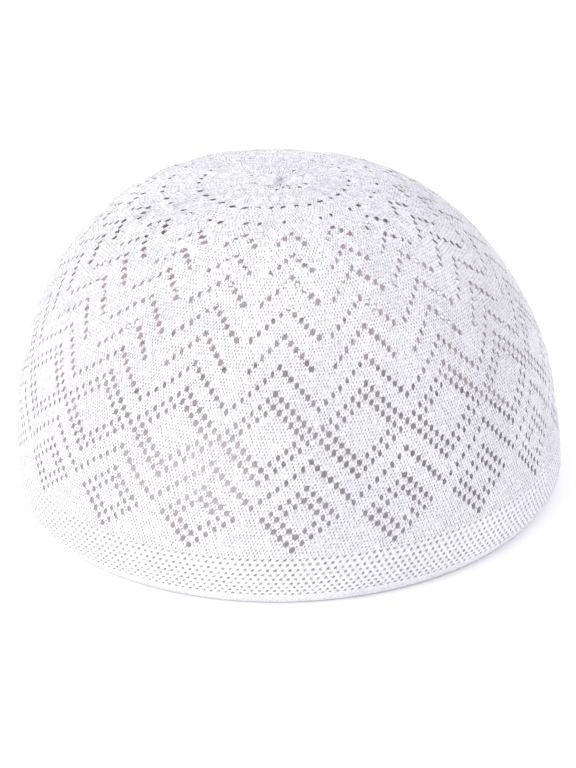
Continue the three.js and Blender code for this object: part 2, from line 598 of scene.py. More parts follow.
        edge = self._stitch(quarter + offsets[:, 0], ring + offsets[:, 1])
        chain = [(border, edge, Side.OUTER)]
        lip = (1 + self.lip_share, self.lip_height, Side.OUTER)
        waist = (1, -self.thicknesses[ring] / 2, Side.INNER)
        for grow, lift, side in (lip, waist):
            across = np.clip(x * grow, -self.cell_limit * width, self.cell_limit * width)
            along = np.clip(y * grow, -self.cell_limit * height, self.cell_limit * height)
            at = self._swayed(rise + along, turn + across / self.wall.radius_at(rise), lift)
            numbers = len(self.points) + np.arange(across.size).reshape(across.shape)
            share = self.shares[ring]
            row = self.stitch_rows[ring] + 2 * along / height
            column = quarter + COLUMN_QUARTERS * across / width
            stitch = np.stack([column * share, row], axis=-1)
            self.points = np.vstack([self.points, at.reshape(-1, 3)])
            chain.append((numbers, stitch, side))
        chain.append((border + self.side, edge, Side.INNER))
        rows = np.repeat(ring, len(offsets), axis=1).ravel()
        for (outer, outer_map, side), (inner, inner_map, _) in zip(chain, chain[1:]):
            corners = np.stack([outer, np.roll(outer, -1, 1), np.roll(inner, -1, 1), inner], axis=-1)
            maps = [outer_map, np.roll(outer_map, -1, 1), np.roll(inner_map, -1, 1), inner_map]
            self._add(corners.reshape(-1, 4), np.stack(maps, axis=-2).reshape(-1, 4, 2), rows, side)

    def _outlines(
        self, forms: list[EyeletShape], turn: np.ndarray, width: np.ndarray, height: np.ndarray
    ) -> tuple[np.ndarray, np.ndarray]:
        """Draws the outline of each eyelet, a little different each time.

        Args:
            forms: The shape of each eyelet.
            turn: Its turn from the front, in radians.
            width: The width of its column.
            height: The height of its row.

        Returns:
            Distances across and along from the eyelet's middle.
        """
        offsets = np.array(self.BORDER)
        traits = np.array([astuple(form) for form in forms]).T[:, :, None]
        half_width, half_height, slant, squareness, uneven, closing = traits
        vary = self.random.normal(0, 1, (3, len(forms), 1))
        half_width = half_width * (1 + uneven * vary[0]) * width
        half_height = half_height * (1 + uneven / 2 * vary[1]) * height
        slant = slant + self.slant_spread * vary[2]
        power = 2 / squareness
        angle = np.arctan2(offsets[:, 1] * 2 * height, offsets[:, 0] * width)
        ragged = 1 + self.raggedness * self.random.normal(0, 1, angle.shape)
        x = half_width * np.sign(np.cos(angle)) * np.abs(np.cos(angle)) ** power * ragged
        y = half_height * np.sign(np.sin(angle)) * np.abs(np.sin(angle)) ** power * ragged
        open_share = 1 - closing * (1 - np.cos(turn)) / 2
        return x + slant * y, y * open_share

    def knit(self) -> None:
        """Adds the faces between all rings on both sides, apart from the cells of the eyelets."""
        for j in range(len(self.rings) - 1):
            reach = min(self.quarters[j], self.quarters[j + 1])
            wedge = np.repeat(np.arange(self.wedges), 2 * reach)
            quarter = np.tile(np.arange(-reach, reach), self.wedges)
            kept = ~self.removed[j][self._corner(wedge, quarter, j) - self.starts[j]]
            self._both_sides(wedge[kept], quarter[kept], j, ((0, 0), (1, 0), (1, 1), (0, 1)))
            if self.quarters[j] > reach:
                wedge = np.arange(self.wedges)
                self._both_sides(wedge, wedge * 0 + reach, j, ((0, 0), (1, 0), (0, 1)))
                self._both_sides(wedge, wedge * 0 - reach, j, ((-1, 0), (0, 0), (0, 1)))

    def _both_sides(
        self, wedge: np.ndarray, quarter: np.ndarray, j: int, corners: tuple[tuple[int, int], ...]
    ) -> None:
        """Adds one kind of face at many stitches of a ring, outside and inside.

        Args:
            wedge: The wedge of each stitch.
            quarter: The quarter of each stitch.
            j: The ring.
            corners: Steps in quarters and rings from the stitch to each corner.
        """
        numbers, maps = [], []
        for across, up in corners:
            numbers.append(self._corner(wedge, quarter + across, j + up))
            maps.append(self._stitch(quarter + across, j + up))
        face = np.stack(numbers, axis=1)
        stitch = np.stack(maps, axis=1)
        self._add(face, stitch, j, Side.OUTER)
        self._add(face[:, ::-1] + self.side, stitch[:, ::-1], j, Side.INNER)

    def close_centre(self) -> None:
        """Draws the last ring together in one point on each side."""
        j = len(self.rings) - 1
        last = self.starts[j] + np.arange(self.counts[j])
        after = np.roll(last, -1)
        middle = [self.points[last].mean(axis=0), self.points[last + self.side].mean(axis=0)]
        top = len(self.points)
        self.points = np.vstack([self.points, *middle])
        count = self.counts[j]
        stitch = np.tile(self._stitch(np.array([0, 1, 0.5]), np.array([j, j, j])), (count, 1, 1))
        self._add(np.stack([last, after, np.full(count, top)], axis=1), stitch, j, Side.OUTER)
        below = np.stack([after, last, np.full(count, top + 1 - self.side)], axis=1) + self.side
        self._add(below, stitch, j, Side.INNER)

    def normals(self) -> np.ndarray:
        """Works out smooth directions at every point from all the faces round it.

        Returns:
            One unit vector for each point.
        """
        total = np.zeros_like(self.points)
        for face in self.faces:
            a, b, c = (self.points[face[:, n]] for n in (0, 1, 2))
            cross = np.cross(b - a, c - a)
            if face.shape[1] == 4:
                cross = np.cross(c - a, self.points[face[:, 3]] - b)
            for corner in face.T:
                for axis in range(3):
                    total[:, axis] += np.bincount(corner, cross[:, axis], len(total))
        return total / np.maximum(np.linalg.norm(total, axis=1), SMALLEST_LENGTH)[:, None]

    def edge(self, ring: int, facing_up: bool) -> np.ndarray:
        """Closes the wall between its two sides along one ring.

        Args:
            ring: The ring.
            facing_up: Whether the closing faces look up along the wall.

        Returns:
            The closing faces.
        """
        here = self.starts[ring] + np.arange(self.counts[ring])
        after = np.roll(here, -1)
        closing = np.stack([here, after, after + self.side, here + self.side], axis=1)
        return closing if facing_up else closing[:, ::-1]

    def piece(self, name: str, first: int, last: int, normals: np.ndarray) -> bpy.types.Object:
        """Makes one object from the faces between two rings.

        Args:
            name: The object's name.
            first: The lowest ring.
            last: The highest ring, or the last one for all that is above.
            normals: Directions for all points of the net.

        Returns:
            The new object.
        """
        faces, maps, sides = [], [], []
        for face, stitch, row, side in zip(self.faces, self.maps, self.rows, self.sides):
            inside = (row >= first) & (row < last)
            if inside.any():
                faces.append(face[inside])
                maps.append(stitch[inside])
                sides.append(np.full(int(inside.sum()), side.value))
        for ring, facing_up in ((first, False), (last, True)):
            if ring < len(self.rings):
                closing = self.edge(ring, facing_up)
                faces.append(closing)
                maps.append(np.zeros((len(closing), 4, 2)))
                sides.append(np.full(len(closing), Side.INNER.value))
        return mesh_object(name, self.points, faces, maps, sides, normals)


def mesh_object(
    name: str,
    points: np.ndarray,
    faces: list[np.ndarray],
    maps: list[np.ndarray],
    sides: list[np.ndarray],
    normals: np.ndarray | None,
) -> bpy.types.Object:
    """Makes a smooth mesh object with a stitch map.

    Args:
        name: The object's name.
        points: All points; those that no face uses are left out.
        faces: Arrays of faces, with three or four corners each.
        maps: For each array of faces, the stitch position of each corner.
        sides: For each array of faces, the place of each one's material.
        normals: A direction for each point, or None for Blender's own.

    Returns:
        The new object, linked to the scene.
    """
    used = np.unique(np.concatenate([f.ravel() for f in faces]))
    renumber = np.zeros(len(points), int)
    renumber[used] = np.arange(len(used))
    polygons = [corners for f in faces for corners in renumber[f].tolist()]
    mesh = bpy.data.meshes.new(name)
    mesh.from_pydata(points[used].tolist(), [], polygons)
    layer = mesh.uv_layers.new(name=STITCH_MAP)
    flat = np.concatenate([m.reshape(-1) for m in maps]).astype(np.float32)
    layer.data.foreach_set("uv", flat)
    mesh.polygons.foreach_set("material_index", np.concatenate(sides).astype(np.int32))
    mesh.shade_smooth()
    if normals is not None:
        mesh.normals_split_custom_set_from_vertices(normals[used].tolist())
    return put_in_scene(name, mesh)


def seat(piece: bpy.types.Object, node: str, materials: list[bpy.types.Material]) -> None:
    """Dresses a piece and puts it in the place of its solid.

    Args:
        piece: The dressed piece.
        node: The solid that it stands for.
        materials: The finish of its outer side and that of its inner side.
    """
    for material in materials:
        piece.data.materials.append(material)
    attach(piece, BODY)
    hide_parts(node)
    triangles = sum(len(p.vertices) - 2 for p in piece.data.polygons)
    log.info("%s: %d triangles in place of %s", piece.name, triangles, node)


class Recipe:
    """A node material that is written down one step after another."""

    MIX_FIRST, MIX_SECOND, MIX_RESULT = 6, 7, 2

    def __init__(self, name: str) -> None:
        """Starts an empty material with its shader and output.

        Args:
            name: The material's name.
        """
        self.material = bpy.data.materials.new(name)
        self.material.use_nodes = True
        self.nodes = self.material.node_tree.nodes
        self.links = self.material.node_tree.links
        self.shader = self.nodes["Principled BSDF"]

    def feed(self, node: bpy.types.Node, values: Feeds) -> None:
        """Links a socket into each named input, or sets a plain number or colour on it.

        Args:
            node: The node that is fed.
            values: What goes in, by the input's name or number.
        """
        for key, value in values.items():
            if isinstance(value, Socket):
                self.links.new(value, node.inputs[key])
            else:
                node.inputs[key].default_value = value

    def add(self, kind: str, values: Feeds) -> bpy.types.Node:
        """Adds a node and feeds its inputs.

        Args:
            kind: Blender's name of the node.
            values: What goes in, by the input's name or number.

        Returns:
            The node.
        """
        node = self.nodes.new(kind)
        self.feed(node, values)
        return node

    def math(self, operation: str, *values: Socket | float) -> Socket:
        """Adds one sum.

        Args:
            operation: Blender's name of the operation.
            values: What it works on.

        Returns:
            The result's socket.
        """
        node = self.nodes.new("ShaderNodeMath")
        node.operation = operation
        self.feed(node, dict(enumerate(values)))
        return node.outputs[0]

    def between(
        self, value: Socket, low: float, high: float, out_low: float = 0, out_high: float = 1
    ) -> Socket:
        """Eases a value from one range into another.

        Args:
            value: The value.
            low: Where the range starts.
            high: Where it ends.
            out_low: The result at the start.
            out_high: The result at the end.

        Returns:
            The result's socket.
        """
        node = self.nodes.new("ShaderNodeMapRange")
        node.interpolation_type = "SMOOTHSTEP"
        ends = {"From Min": low, "From Max": high, "To Min": out_low, "To Max": out_high}
        self.feed(node, {"Value": value, **ends})
        return node.outputs[0]

    def stitch_position(self) -> tuple[Socket, Socket]:
        """Reads the stitch map.

        Returns:
            The position across and along the stitches.
        """
        source = self.nodes.new("ShaderNodeUVMap")
        source.uv_map = STITCH_MAP
        parts = self.add("ShaderNodeSeparateXYZ", {0: source.outputs[0]})
        return parts.outputs["X"], parts.outputs["Y"]

    def noise(self, scale: float, detail: float) -> Socket:
        """Adds a noise that sits still on the object.

        Args:
            scale: Grains a metre.
            detail: How many finer layers it has.

        Returns:
            Its value's socket.
        """
        place = self.nodes.new("ShaderNodeTexCoord").outputs["Object"]
        node = self.add("ShaderNodeTexNoise", {"Vector": place, "Scale": scale, "Detail": detail})
        return node.outputs[0]

    def blend(self, share: Socket, first: Socket | Color, second: Socket | Color) -> Socket:
        """Mixes two colours.

        Args:
            share: The second colour's share.
            first: The colour where the share is 0.
            second: The colour where it is 1.

        Returns:
            The mixed colour's socket.
        """
        node = self.nodes.new("ShaderNodeMix")
        node.data_type = "RGBA"
        self.feed(node, {"Factor": share, self.MIX_FIRST: first, self.MIX_SECOND: second})
        return node.outputs[self.MIX_RESULT]


@dataclass(frozen=True)
class KnitFinish:
    """White cotton knit: soft yarn with pinholes between its stitches, with painted shade in the
    pinholes and in the grooves between the strands, and a painted grey shade on the inner side.
    """

    slot: str
    strands: Strands
    pinhole_start: float
    # How far the pinholes are painted towards the dark grey of their shade
    pinhole_shade_depth: float
    pinhole_form: tuple[float, float] = (1.0, 0.8)
    drift: float = 0.5
    faintest: float = 0.3
    faint_range: tuple[float, float] = (0.35, 0.62)
    # Painted shade in the grooves between the strands, mixed with random clouds and speckle of tone
    groove_shade_share: float = 0.35
    groove_shade_base: float = 0.1
    cloud_share: float = 0.2
    speckle: float = 0.5
    noise_range: tuple[float, float] = (0.35, 0.65)
    # Painted shade colours: dark grey in the pinholes, and warm greys on the inner side that get darker
    # higher up
    pinhole_shade_color: Color = (0.20, 0.18, 0.20, 1)
    inside_shade_color: Color = (0.68, 0.63, 0.64, 1)
    upper_inside_shade_color: Color = (0.33, 0.30, 0.32, 1)
    upper_inside_shade_rows: tuple[float, float] = (17, 25)
    # Painted groove shade on the inner side, and the greyish lilac tint of the painted groove shade
    inside_groove_shade: float = 0.2
    groove_shade_tint: tuple[float, float, float] = (0.62, 0.62, 0.65)
    roughness_range: tuple[float, float] = (0.86, 0.96)
    specular: float = 0.2
    sheen: float = 0.15
    sheen_roughness: float = 0.5
    glow_radius: tuple[float, float, float] = (1.0, 0.97, 0.98)
    glow_depth: float = 1.2 * MM
    relief: float = 0.5 * MM
    relief_strength: float = 0.8
    strand_relief: float = 0.25
    fuzz_relief: float = 0.35
    fuzz_range: tuple[float, float] = (0.3, 0.7)
    fuzz_scale: float = 2600
    speckle_scale: float = 1300
    faint_scale: float = 714
    spread_scale: float = 420
    cloud_scale: float = 28

    def yarn_color(self) -> Color:
        """Looks up the slot's colour in the record.

        Returns:
            The colour, opaque.
        """
        rows = frame["record"]["materials"]
        color = next(row["base_color"] for row in rows if row["slot"] == self.slot)
        return (*color[:3], 1)

    def strand_height(self, recipe: Recipe, u: Socket, v: Socket) -> Socket:
        """Draws the yarn's strands as a height from 0 to 1.

        Args:
            recipe: The material in the making.
            u: Position across the stitches.
            v: Position along them.

        Returns:
            The height's socket.
        """
        count = STRANDS_A_STITCH[self.strands]
        if self.strands is Strands.RADIAL:
            phase = recipe.math("MULTIPLY", u, count)
        elif self.strands is Strands.RIBBED:
            phase = recipe.math("MULTIPLY_ADD", v, count, recipe.math("MULTIPLY_ADD", u, count, 0.5))
        else:
            bend = recipe.math("MULTIPLY", recipe.math("PINGPONG", v, 0.5), ZIGZAG_BEND)
            phase = recipe.math("MULTIPLY", recipe.math("ADD", u, bend), count)
        wave = recipe.math("COSINE", recipe.math("MULTIPLY", phase, 2 * math.pi))
        return recipe.math("MULTIPLY_ADD", wave, 0.5, 0.5)

    def pinholes(self, recipe: Recipe, u: Socket, v: Socket) -> Socket:
        """Draws the pinholes between the stitches, some of them fainter than others.

        Args:
            recipe: The material in the making.
            u: Position across the stitches.
            v: Position along them.

        Returns:
            The socket of their depth, from 0 to 1.
        """
        across = recipe.math("COSINE", recipe.math("MULTIPLY", u, 2 * math.pi))
        along = recipe.math("COSINE", recipe.math("MULTIPLY", v, 2 * math.pi))
        open_here = recipe.math("GREATER_THAN", recipe.math("MULTIPLY", across, along), 0)
        wide = recipe.math("POWER", recipe.math("ABSOLUTE", across), self.pinhole_form[0])
        tall = recipe.math("POWER", recipe.math("ABSOLUTE", along), self.pinhole_form[1])
        hole = recipe.between(recipe.math("MULTIPLY", wide, tall), self.pinhole_start, 1.0)
        hole = recipe.math("MULTIPLY", hole, open_here)
        uneven = recipe.between(recipe.noise(self.faint_scale, 1), *self.faint_range, self.faintest, 1)
        return recipe.math("MULTIPLY", hole, uneven)

    def emboss(self, recipe: Recipe, hole: Socket, strand: Socket, fuzz: Socket) -> None:
        """Gives the surface the relief of its pinholes, strands and fuzz.

        Args:
            recipe: The material in the making.
            hole: Depth of the pinholes.
            strand: Height of the strands.
            fuzz: Height of the fuzz.
        """
        height = recipe.math("MULTIPLY", fuzz, self.fuzz_relief)
        height = recipe.math("MULTIPLY_ADD", strand, self.strand_relief, height)
        height = recipe.math("SUBTRACT", height, hole)
        relief = {"Strength": self.relief_strength, "Distance": self.relief, "Height": height}
        recipe.feed(recipe.shader, {"Normal": recipe.add("ShaderNodeBump", relief).outputs[0]})

    def color(self, recipe: Recipe, side: Side, v: Socket, hole: Socket, strand: Socket) -> Socket:
        """Mixes the yarn's colour with painted shade in its grooves and pinholes, and with random tone;
        the inner side gets a painted grey shade.

        Args:
            recipe: The material in the making.
            side: The side of the knit.
            v: Position along the stitches.
            hole: Depth of the pinholes.
            strand: Height of the strands.

        Returns:
            The colour's socket.
        """
        yarn = self.yarn_color()
        # Painted shade: the grooves between the strands are darkened towards a greyish lilac, and clouds
        # and speckle add random tone to the same mix
        groove_shade_color = tuple(c * t for c, t in zip(yarn[:3], self.groove_shade_tint)) + (1,)
        clouds = recipe.between(recipe.noise(self.cloud_scale, 3), *self.noise_range)
        deepest = self.groove_shade_base + self.groove_shade_share
        groove_shade_and_tone = recipe.math("MULTIPLY_ADD", strand, -self.groove_shade_share, deepest)
        groove_shade_and_tone = recipe.math("MULTIPLY_ADD", clouds, self.cloud_share, groove_shade_and_tone)
        speckle = recipe.between(recipe.noise(self.speckle_scale, 2), *self.noise_range, -0.5, 0.5)
        groove_shade_and_tone = recipe.math("MULTIPLY_ADD", speckle, self.speckle, groove_shade_and_tone)
        if side is Side.OUTER:
            base = recipe.blend(groove_shade_and_tone, yarn, groove_shade_color)
            # Painted shade: the pinholes are darkened towards a dark grey for the shade seen through the
            # gaps in the yarn
            depth = recipe.math("MULTIPLY", hole, self.pinhole_shade_depth)
            return recipe.blend(depth, base, self.pinhole_shade_color)
        # Painted shade: the inner side is a warm grey for the shade inside the cap, and darker higher up
        # the wall
        upper_shade = recipe.between(v, *self.upper_inside_shade_rows)
        inside = recipe.blend(upper_shade, self.inside_shade_color, self.upper_inside_shade_color)
        return recipe.blend(recipe.math("MULTIPLY", groove_shade_and_tone, self.inside_groove_shade), inside, groove_shade_color)

    def material(self, side: Side) -> bpy.types.Material:
        """Writes the material of one side down.

        Args:
            side: The inner side lets the light through the thin knit.

        Returns:
            The finished material.
        """
        recipe = Recipe(self.slot if side is Side.OUTER else self.slot + "_inside")
        u, v = recipe.stitch_position()
        spread = recipe.math("SUBTRACT", recipe.noise(self.spread_scale, 2), 0.5)
        u = recipe.math("MULTIPLY_ADD", spread, self.drift, u)
        hole = self.pinholes(recipe, u, v)
        strand = self.strand_height(recipe, u, v)
        fuzz = recipe.noise(self.fuzz_scale, 3)
        self.emboss(recipe, hole, strand, fuzz)
        feeds = {
            "Base Color": self.color(recipe, side, v, hole, strand),
            "Roughness": recipe.between(fuzz, *self.fuzz_range, *self.roughness_range),
            "Specular IOR Level": self.specular,
            "Sheen Weight": self.sheen,
            "Sheen Roughness": self.sheen_roughness,
        }
        if side is Side.INNER:
            feeds["Subsurface Weight"] = 1.0
            feeds["Subsurface Radius"] = self.glow_radius
            feeds["Subsurface Scale"] = self.glow_depth
        recipe.feed(recipe.shader, feeds)
        return recipe.material

    def both_sides(self) -> list[bpy.types.Material]:
        """The materials of the outer and of the inner side."""
        return [self.material(side) for side in Side]


@dataclass
class LaceCrown:
    """The domed wall of lace: four zones of one knit, one above the other."""

    wall: CrownWall
    finish: KnitFinish
    top_finish: KnitFinish
    wedges: int = 18
    slant_degrees_a_mm: float = 0.188
    thickness: float = 0.36 * MM
    top_thickness: float = 0.13 * MM
    thinning: tuple[float, float] = (0.35, 0.80)
    pit_depth: float = 0.10 * MM
    crest_height: float = 0.05 * MM
    zones: tuple[tuple[str, int], ...] = (
        ("lace_small_diamonds", 24),
        ("lace_large_diamonds", 58),
        ("lace_chevrons", 89),
        ("lace_crown_top", 132),
    )

    def rise_of(self, row: float) -> float:
        """Way up along the wall at a row of the chart."""
        rows = [m.row for m in ROW_MARKS]
        return float(np.interp(row, rows, [m.share for m in ROW_MARKS])) * self.wall.length

    def turn_of(self, rise: float) -> float:
        """Turn of the slanting ribs at a rise, in radians."""
        return math.radians(self.slant_degrees_a_mm * (rise - self.rise_of(0)) / MM)

    def thickness_at(self, rise: float) -> float:
        """The knit's thickness, which is finer where the yarn is drawn up towards the centre."""
        share = rise / self.wall.length
        return float(np.interp(share, self.thinning, (self.thickness, self.top_thickness)))

    def half_row_of(self, row: float) -> int:
        """The half row, counted from the seam, at a row of the chart."""
        return round(2 * (row - ROW_MARKS[0].row))

    def rings(self) -> list[RingPlan]:
        """Works out the rings of the lace from the seam to the gather.

        Returns:
            One plan for each half row.
        """
        plans: list[RingPlan] = []
        for j in range(self.half_row_of(ROW_MARKS[-1].row) + 1):
            row = ROW_MARKS[0].row + j / 2
            wanted = 2 * min(n.columns for n in NARROWINGS if n.row <= row)
            quarters = max(wanted, plans[-1].quarters - 1) if plans else wanted
            pits = (np.arange(2 * self.wedges * quarters) + quarters + j) % 2 == 0
            lift = np.where(pits, -self.pit_depth, self.crest_height)
            rise = self.rise_of(row)
            plans.append(RingPlan(quarters, rise, self.turn_of(rise), lift, self.thickness_at(rise), j))
        return plans

    def eyelets(self, rings: list[RingPlan]) -> list[Eyelet]:
        """Reads the figures into single eyelets.

        Args:
            rings: The rings that they are cut in.

        Returns:
            All eyelets of the lace, each one once.
        """
        found: dict[tuple[int, int], Eyelet] = {}
        for figure in FIGURES:
            for column in range(-figure.reach, figure.reach + 1):
                if abs(column) < figure.nearest:
                    continue
                j = self.half_row_of(figure.row + figure.climb * abs(column))
                quarters = rings[j].quarters
                quarter = COLUMN_QUARTERS * column - (quarters if figure.line is Line.VALLEY else 0)
                leg = Leg.FALLING if column * figure.climb < 0 or column == 0 else Leg.RISING
                if figure.climb == 0:
                    leg = Leg.LEVEL
                for wedge in range(self.wedges):
                    spot = (wedge * 2 * quarters + quarter) % (2 * self.wedges * quarters)
                    found.setdefault((j, spot), Eyelet(wedge, quarter, j, leg))
        log.info("lace: %d eyelets", len(found))
        return list(found.values())

    def build(self, net: StitchNet, normals: np.ndarray) -> list[bpy.types.Object]:
        """Takes the lace's zones out of the net and dresses them.

        Args:
            net: The finished net.
            normals: Directions for all its points.

        Returns:
            The zones' objects.
        """
        low, high = self.finish.both_sides(), self.top_finish.both_sides()
        pieces = []
        first = 0
        for name, last in self.zones:
            piece = net.piece(name, first, last, normals)
            seat(piece, "lace_crown", high if last == self.zones[-1][1] else low)
            pieces.append(piece)
            first = last
        return pieces


@dataclass
class CrownGather:
    """The drawn-up centre: fine radial pleats round a small dimple, with a few open stitches."""

    lace: LaceCrown
    finish: KnitFinish
    quarters: int = 6
    ring_count: int = 13
    pleat_height: float = 0.34 * MM
    pleat_swell: float = 1.1
    pleat_end: int = 6
    pleat_share: float = 0.8
    pleat_waves: tuple[Wave, ...] = (Wave(7, 0, 1, share=0.3), Wave(16, 0, 0, share=0.2))
    dimple: float = 0.2 * MM
    last_share: float = 0.975
    plain_share: float = 0.5
    strand_row: float = 0.5
    map_share: float = 0.5
    start: float = field(init=False)

    def __post_init__(self) -> None:
        """Finds where the lace ends."""
        self.start = ROW_MARKS[-1].share * self.lace.wall.length

    def rings(self, first_row: int) -> list[RingPlan]:
        """Works out the rings of the gather, from just above the lace to near the centre.

        Args:
            first_row: The half row where the lace ends.

        Returns:
            One plan for each ring.
        """
        plans = []
        count = 2 * self.lace.wedges * self.quarters
        turn = np.arange(count) * 2 * math.pi / count
        for n in range(1, self.ring_count + 1):
            share = self.last_share * n / self.ring_count
            rise = self.start + share * (self.lace.wall.length - self.start)
            swell = self.pleat_swell * share * (1 - share**self.pleat_end)
            pleat = np.cos(np.arange(count) * 2 * math.pi / COLUMN_QUARTERS)
            pleat = pleat * sum((wave.at(turn) for wave in self.pleat_waves), self.pleat_share)
            lift = self.pleat_height * swell * pleat - self.dimple * share**2
            row = first_row + (n if share < self.plain_share else self.strand_row)
            thin = self.lace.top_thickness
            turned = self.lace.turn_of(rise)
            plans.append(RingPlan(self.quarters, rise, turned, lift, thin, row, self.map_share))
        return plans

    def eyelets(self, first_ring: int) -> list[Eyelet]:
        """Places the open stitches of the gather.

        Args:
            first_ring: The number of the gather's first ring in the net.

        Returns:
            The open stitches.
        """
        found = []
        length = self.lace.wall.length
        step = (length - self.start) * self.last_share / self.ring_count
        for stitch in OPEN_STITCHES:
            n = round((length - self.start - stitch.distance) / step) - 1
            turned = math.radians(stitch.turn_degrees) - self.lace.turn_of(length - stitch.distance)
            spot = round(turned / (2 * math.pi) * 2 * self.lace.wedges * self.quarters)
            found.append(Eyelet(0, spot - self.quarters, first_ring + n, Leg.OPEN))
        return found

    def build(self, net: StitchNet, first_ring: int, normals: np.ndarray) -> bpy.types.Object:
        """Takes the gather out of the net and dresses it.

        Args:
            net: The finished net.
            first_ring: The ring where the lace ends.
            normals: Directions for all its points.

        Returns:
            The gather's object.
        """
        piece = net.piece("pleated_centre", first_ring, len(net.rings), normals)
        seat(piece, "crown_gather", self.finish.both_sides())
        return piece


@dataclass
class HemBand:
    """The hem, folded double: rows of small tuck dots outside and a round fold at the rim."""

    sizes: CapSizes
    finish: KnitFinish
    steps: int = 1008
    rim_share: float = 0.975
    slant_degrees_a_mm: float = 0.14
    rim_flat: float = 1.0 * MM
    rim_round: float = 0.15 * MM
    wall: float = 1.2 * MM
    curve_samples: int = 24
    plain_rings: int = 10
    inner_rings: int = 14
    below_dots: float = 0.8 * MM
    past_fold: float = 0.9 * MM
    dot_rows: tuple[float, ...] = (0.3, 1.95, 3.8, 5.3, 6.75, 8.2, 9.45, 10.6, 11.8)
    dot_depth: float = 0.4 * MM
    dot_rim: float = 0.08 * MM

    def section(self) -> tuple[np.ndarray, float]:
        """Lays out the closed section from the seam down the outer side and up the inner one.

        Returns:
            Samples of radius and height, and the outer side's length.
        """
        radius, height = self.sizes.radius, self.sizes.seam_height
        outer = [(s.radius * radius, s.height * height) for s in BAND_SECTIONS]
        inner = [(s.radius * radius - s.wall * self.wall, s.height * height) for s in BAND_SECTIONS]
        rim = self.rim_share * radius
        under = [
            (rim, self.rim_round),
            (rim - self.rim_flat / 2, 0),
            (rim - self.rim_flat, self.rim_round),
        ]
        curve = smooth_curve(np.array([*outer, *under, *reversed(inner)]), self.curve_samples)
        lowest = int(np.argmin(curve[:, 1]))
        curve[:, 1] -= curve[lowest, 1]
        return curve, float(lengths_along(curve)[lowest])

    def build(self) -> bpy.types.Object:
        """Knits the band and dresses it.

        Returns:
            The band's object.
        """
        curve, outer_length = self.section()
        lengths = lengths_along(curve)
        dots = [row * MM for row in self.dot_rows]
        halves = [(a + b) / 2 for a, b in zip(dots, dots[1:])]
        outer = sorted([0.0, *dots, *halves])
        plain = np.linspace(outer[-1] + self.below_dots, outer_length, self.plain_rings)
        inner = np.linspace(outer_length + self.past_fold, lengths[-1], self.inner_rings)
        rings = [*outer, *plain.tolist(), *inner.tolist()]

        k = np.arange(self.steps)
        turn = k * 2 * math.pi / self.steps
        points, rows = [], []
        for ring in rings:
            place = np.full(self.steps, np.interp(ring, lengths, curve[:, 0]))
            if ring in dots:
                dent_at = COLUMN_QUARTERS // 2 * (dots.index(ring) % 2)
                place += np.where(k % COLUMN_QUARTERS == dent_at, -self.dot_depth, self.dot_rim)
            below = ring > dots[-1]
            rows.append(len(dots) - 0.5 if below else np.interp(ring, dots, np.arange(len(dots))))
            turned = turn - math.radians(self.slant_degrees_a_mm * min(ring, outer_length) / MM)
            level = np.full(self.steps, np.interp(ring, lengths, curve[:, 1]))
            points.append(np.stack([place * np.sin(turned), -place * np.cos(turned), level], axis=1))
        after = (k + 1) % self.steps
        faces, maps, sides = [], [], []
        for high in range(len(rings)):
            low = (high + 1) % len(rings)
            face = [low * self.steps + k, low * self.steps + after, high * self.steps + after]
            faces.append(np.stack([*face, high * self.steps + k], axis=1))
            across = np.stack([k, k + 1, k + 1, k], axis=1) / COLUMN_QUARTERS
            along = np.tile([rows[n] / 2 for n in (low, low, high, high)], (self.steps, 1))
            maps.append(np.stack([across, along], axis=-1))
            side = Side.INNER if rings[high] > outer_length else Side.OUTER
            sides.append(np.full(self.steps, side.value))
        piece = mesh_object("folded_band", np.vstack(points), faces, maps, sides, None)
        seat(piece, "hem_band", self.finish.both_sides())
        return piece


@dataclass(frozen=True)
class Lamp:
    """A soft square light: its place, side, power in watts, colour and the point that it faces."""

    name: str
    place: Place
    size: float
    power: float
    color: tuple[float, float, float]
    target: Place = (0, 0, 0.05)


KEY_TINT = (1.0, 0.99, 0.97)
FILL_TINT = (0.97, 0.965, 1.0)
KNIT_TINT = (1.0, 0.91, 0.92)

# The lamps inside the cap stand in for the light that passes through the thin knit
LAMPS = (
    Lamp("key_light", (-1.30, -0.80, 0.90), 1.6, 18.5, KEY_TINT),
    Lamp("fill_light", (1.15, -0.35, 0.5), 1.2, 1.9, FILL_TINT),
    Lamp("light_through_the_crown", (-0.020, 0, 0.08), 0.06, 0.0045, KNIT_TINT, (-0.025, 0, 0)),
    Lamp("light_through_the_front", (0, -0.025, 0.045), 0.05, 0.0030, KNIT_TINT, (0, -0.09, 0.01)),
    Lamp("light_through_the_right", (0.025, 0, 0.045), 0.05, 0.0002, KNIT_TINT, (0.09, 0, 0.01)),
    Lamp("light_through_the_back", (0, 0.025, 0.045), 0.05, 0.0040, KNIT_TINT, (0, 0.09, 0.01)),
    Lamp("light_through_the_left", (-0.025, 0, 0.045), 0.05, 0.0120, KNIT_TINT, (-0.09, 0, 0.01)),
)


